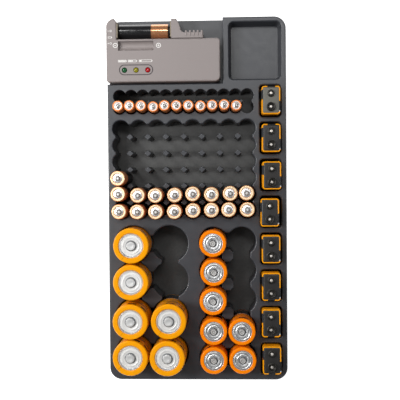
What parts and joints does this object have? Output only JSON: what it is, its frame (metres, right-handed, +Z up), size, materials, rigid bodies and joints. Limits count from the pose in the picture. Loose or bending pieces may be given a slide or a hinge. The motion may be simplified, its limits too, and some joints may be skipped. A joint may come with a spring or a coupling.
{
  "type": "battery storage tray with tester",
  "caption": "Flat charcoal drawer tray with sockets for AAA, AA, C, D and nine-volt cells, a small parts recess and a lift-out sliding-arm battery tester.",
  "frame": {"origin": "centre of the tray's underside, on the surface that it rests on", "axes": "+Z up out of the sockets, +X to the right and +Y towards the tester end, looking down on the tray"},
  "size_m": [0.173, 0.351, 0.0647],
  "materials": {
    "tray": "charcoal moulded plastic, fine matte texture",
    "tester_housing": "taupe moulded plastic, fine matte texture",
    "contact_metal": "nickel plated strip",
    "steel": "plain steel",
    "circuit_board": "green board",
    "lamp_green": "tinted clear plastic",
    "lamp_yellow": "tinted clear plastic",
    "lamp_red": "tinted clear plastic",
    "cell_sleeve_d": "glossy yellow-orange sleeve",
    "cell_sleeve_c": "glossy orange sleeve",
    "cell_sleeve_small": "copper coloured sleeve",
    "cell_sleeve_test": "black and copper sleeve",
    "cell_case_nine_volt": "black and yellow case"
  },
  "bodies": {
    "tray": {"tray": "tray"},
    "battery_tester": {"tester_front_shell": "tester_housing", "tester_rear_shell": "tester_housing", "tester_fixed_contact": "contact_metal", "tester_spring": "steel", "tester_circuit_board": "circuit_board", "tester_lamp_green": "lamp_green", "tester_lamp_yellow": "lamp_yellow", "tester_lamp_red": "lamp_red", "tester_nine_volt_pads": "contact_metal", "tester_screws": "steel"},
    "sliding_arm": {"tester_sliding_arm": "tester_housing", "tester_slider_contact": "contact_metal"},
    "test_cell": {"cell_aa_test": "cell_sleeve_test"},
    "aaa_cells": {"cells_aaa": "cell_sleeve_small"},
    "d_01_cell": {"cell_d_01": "cell_sleeve_d"},
    "d_02_cell": {"cell_d_02": "cell_sleeve_d"},
    "d_03_cell": {"cell_d_03": "cell_sleeve_d"},
    "d_04_cell": {"cell_d_04": "cell_sleeve_d"},
    "d_05_cell": {"cell_d_05": "cell_sleeve_d"},
    "d_06_cell": {"cell_d_06": "cell_sleeve_d"},
    "c_01_cell": {"cell_c_01": "cell_sleeve_c"},
    "c_02_cell": {"cell_c_02": "cell_sleeve_c"},
    "c_03_cell": {"cell_c_03": "cell_sleeve_c"},
    "c_04_cell": {"cell_c_04": "cell_sleeve_c"},
    "c_05_cell": {"cell_c_05": "cell_sleeve_c"},
    "c_06_cell": {"cell_c_06": "cell_sleeve_c"},
    "c_07_cell": {"cell_c_07": "cell_sleeve_c"},
    "nine_volt_1_cell": {"cell_nine_volt_1": "cell_case_nine_volt"},
    "nine_volt_2_cell": {"cell_nine_volt_2": "cell_case_nine_volt"},
    "nine_volt_3_cell": {"cell_nine_volt_3": "cell_case_nine_volt"},
    "nine_volt_4_cell": {"cell_nine_volt_4": "cell_case_nine_volt"},
    "nine_volt_5_cell": {"cell_nine_volt_5": "cell_case_nine_volt"},
    "nine_volt_6_cell": {"cell_nine_volt_6": "cell_case_nine_volt"},
    "nine_volt_7_cell": {"cell_nine_volt_7": "cell_case_nine_volt"},
    "nine_volt_8_cell": {"cell_nine_volt_8": "cell_case_nine_volt"},
    "aa_01_cell": {"cell_aa_01": "cell_sleeve_small"},
    "aa_02_cell": {"cell_aa_02": "cell_sleeve_small"},
    "aa_03_cell": {"cell_aa_03": "cell_sleeve_small"},
    "aa_04_cell": {"cell_aa_04": "cell_sleeve_small"},
    "aa_05_cell": {"cell_aa_05": "cell_sleeve_small"},
    "aa_06_cell": {"cell_aa_06": "cell_sleeve_small"},
    "aa_07_cell": {"cell_aa_07": "cell_sleeve_small"},
    "aa_08_cell": {"cell_aa_08": "cell_sleeve_small"},
    "aa_09_cell": {"cell_aa_09": "cell_sleeve_small"},
    "aa_10_cell": {"cell_aa_10": "cell_sleeve_small"},
    "aa_11_cell": {"cell_aa_11": "cell_sleeve_small"},
    "aa_12_cell": {"cell_aa_12": "cell_sleeve_small"},
    "aa_13_cell": {"cell_aa_13": "cell_sleeve_small"},
    "aa_14_cell": {"cell_aa_14": "cell_sleeve_small"},
    "aa_15_cell": {"cell_aa_15": "cell_sleeve_small"},
    "aa_16_cell": {"cell_aa_16": "cell_sleeve_small"},
    "aa_17_cell": {"cell_aa_17": "cell_sleeve_small"}
  },
  "joints": [
    {"name": "arm_slide", "type": "slide", "parent": "battery_tester", "child": "sliding_arm", "axis": [1, 0, 0], "range_m": [0, 0.013], "stiffness_N_per_m": 60, "springref_m": -0.02, "deforming": ["tester_spring"]},
    {"name": "battery_tester_lift", "type": "slide", "parent": "tray", "child": "battery_tester", "axis": [0, 0, 1], "range_m": [0, 0.04]},
    {"name": "aaa_cells_lift", "type": "slide", "parent": "tray", "child": "aaa_cells", "axis": [0, 0, 1], "range_m": [0, 0.05]},
    {"name": "cell_aa_test_lift", "type": "slide", "parent": "battery_tester", "child": "test_cell", "axis": [0, 0, 1], "range_m": [0, 0.03]},
    {"name": "cell_d_01_lift", "type": "slide", "parent": "tray", "child": "d_01_cell", "axis": [0, 0, 1], "range_m": [0, 0.065]},
    {"name": "cell_d_02_lift", "type": "slide", "parent": "tray", "child": "d_02_cell", "axis": [0, 0, 1], "range_m": [0, 0.065]},
    {"name": "cell_d_03_lift", "type": "slide", "parent": "tray", "child": "d_03_cell", "axis": [0, 0, 1], "range_m": [0, 0.065]},
    {"name": "cell_d_04_lift", "type": "slide", "parent": "tray", "child": "d_04_cell", "axis": [0, 0, 1], "range_m": [0, 0.065]},
    {"name": "cell_d_05_lift", "type": "slide", "parent": "tray", "child": "d_05_cell", "axis": [0, 0, 1], "range_m": [0, 0.065]},
    {"name": "cell_d_06_lift", "type": "slide", "parent": "tray", "child": "d_06_cell", "axis": [0, 0, 1], "range_m": [0, 0.065]},
    {"name": "cell_c_01_lift", "type": "slide", "parent": "tray", "child": "c_01_cell", "axis": [0, 0, 1], "range_m": [0, 0.055]},
    {"name": "cell_c_02_lift", "type": "slide", "parent": "tray", "child": "c_02_cell", "axis": [0, 0, 1], "range_m": [0, 0.055]},
    {"name": "cell_c_03_lift", "type": "slide", "parent": "tray", "child": "c_03_cell", "axis": [0, 0, 1], "range_m": [0, 0.055]},
    {"name": "cell_c_04_lift", "type": "slide", "parent": "tray", "child": "c_04_cell", "axis": [0, 0, 1], "range_m": [0, 0.055]},
    {"name": "cell_c_05_lift", "type": "slide", "parent": "tray", "child": "c_05_cell", "axis": [0, 0, 1], "range_m": [0, 0.055]},
    {"name": "cell_c_06_lift", "type": "slide", "parent": "tray", "child": "c_06_cell", "axis": [0, 0, 1], "range_m": [0, 0.055]},
    {"name": "cell_c_07_lift", "type": "slide", "parent": "tray", "child": "c_07_cell", "axis": [0, 0, 1], "range_m": [0, 0.055]},
    {"name": "cell_nine_volt_1_lift", "type": "slide", "parent": "tray", "child": "nine_volt_1_cell", "axis": [0, 0, 1], "range_m": [0, 0.052]},
    {"name": "cell_nine_volt_2_lift", "type": "slide", "parent": "tray", "child": "nine_volt_2_cell", "axis": [0, 0, 1], "range_m": [0, 0.052]},
    {"name": "cell_nine_volt_3_lift", "type": "slide", "parent": "tray", "child": "nine_volt_3_cell", "axis": [0, 0, 1], "range_m": [0, 0.052]},
    {"name": "cell_nine_volt_4_lift", "type": "slide", "parent": "tray", "child": "nine_volt_4_cell", "axis": [0, 0, 1], "range_m": [0, 0.052]},
    {"name": "cell_nine_volt_5_lift", "type": "slide", "parent": "tray", "child": "nine_volt_5_cell", "axis": [0, 0, 1], "range_m": [0, 0.052]},
    {"name": "cell_nine_volt_6_lift", "type": "slide", "parent": "tray", "child": "nine_volt_6_cell", "axis": [0, 0, 1], "range_m": [0, 0.052]},
    {"name": "cell_nine_volt_7_lift", "type": "slide", "parent": "tray", "child": "nine_volt_7_cell", "axis": [0, 0, 1], "range_m": [0, 0.052]},
    {"name": "cell_nine_volt_8_lift", "type": "slide", "parent": "tray", "child": "nine_volt_8_cell", "axis": [0, 0, 1], "range_m": [0, 0.052]},
    {"name": "cell_aa_01_lift", "type": "slide", "parent": "tray", "child": "aa_01_cell", "axis": [0, 0, 1], "range_m": [0, 0.055]},
    {"name": "cell_aa_02_lift", "type": "slide", "parent": "tray", "child": "aa_02_cell", "axis": [0, 0, 1], "range_m": [0, 0.055]},
    {"name": "cell_aa_03_lift", "type": "slide", "parent": "tray", "child": "aa_03_cell", "axis": [0, 0, 1], "range_m": [0, 0.055]},
    {"name": "cell_aa_04_lift", "type": "slide", "parent": "tray", "child": "aa_04_cell", "axis": [0, 0, 1], "range_m": [0, 0.055]},
    {"name": "cell_aa_05_lift", "type": "slide", "parent": "tray", "child": "aa_05_cell", "axis": [0, 0, 1], "range_m": [0, 0.055]},
    {"name": "cell_aa_06_lift", "type": "slide", "parent": "tray", "child": "aa_06_cell", "axis": [0, 0, 1], "range_m": [0, 0.055]},
    {"name": "cell_aa_07_lift", "type": "slide", "parent": "tray", "child": "aa_07_cell", "axis": [0, 0, 1], "range_m": [0, 0.055]},
    {"name": "cell_aa_08_lift", "type": "slide", "parent": "tray", "child": "aa_08_cell", "axis": [0, 0, 1], "range_m": [0, 0.055]},
    {"name": "cell_aa_09_lift", "type": "slide", "parent": "tray", "child": "aa_09_cell", "axis": [0, 0, 1], "range_m": [0, 0.055]},
    {"name": "cell_aa_10_lift", "type": "slide", "parent": "tray", "child": "aa_10_cell", "axis": [0, 0, 1], "range_m": [0, 0.055]},
    {"name": "cell_aa_11_lift", "type": "slide", "parent": "tray", "child": "aa_11_cell", "axis": [0, 0, 1], "range_m": [0, 0.055]},
    {"name": "cell_aa_12_lift", "type": "slide", "parent": "tray", "child": "aa_12_cell", "axis": [0, 0, 1], "range_m": [0, 0.055]},
    {"name": "cell_aa_13_lift", "type": "slide", "parent": "tray", "child": "aa_13_cell", "axis": [0, 0, 1], "range_m": [0, 0.055]},
    {"name": "cell_aa_14_lift", "type": "slide", "parent": "tray", "child": "aa_14_cell", "axis": [0, 0, 1], "range_m": [0, 0.055]},
    {"name": "cell_aa_15_lift", "type": "slide", "parent": "tray", "child": "aa_15_cell", "axis": [0, 0, 1], "range_m": [0, 0.055]},
    {"name": "cell_aa_16_lift", "type": "slide", "parent": "tray", "child": "aa_16_cell", "axis": [0, 0, 1], "range_m": [0, 0.055]},
    {"name": "cell_aa_17_lift", "type": "slide", "parent": "tray", "child": "aa_17_cell", "axis": [0, 0, 1], "range_m": [0, 0.055]}
  ]
}
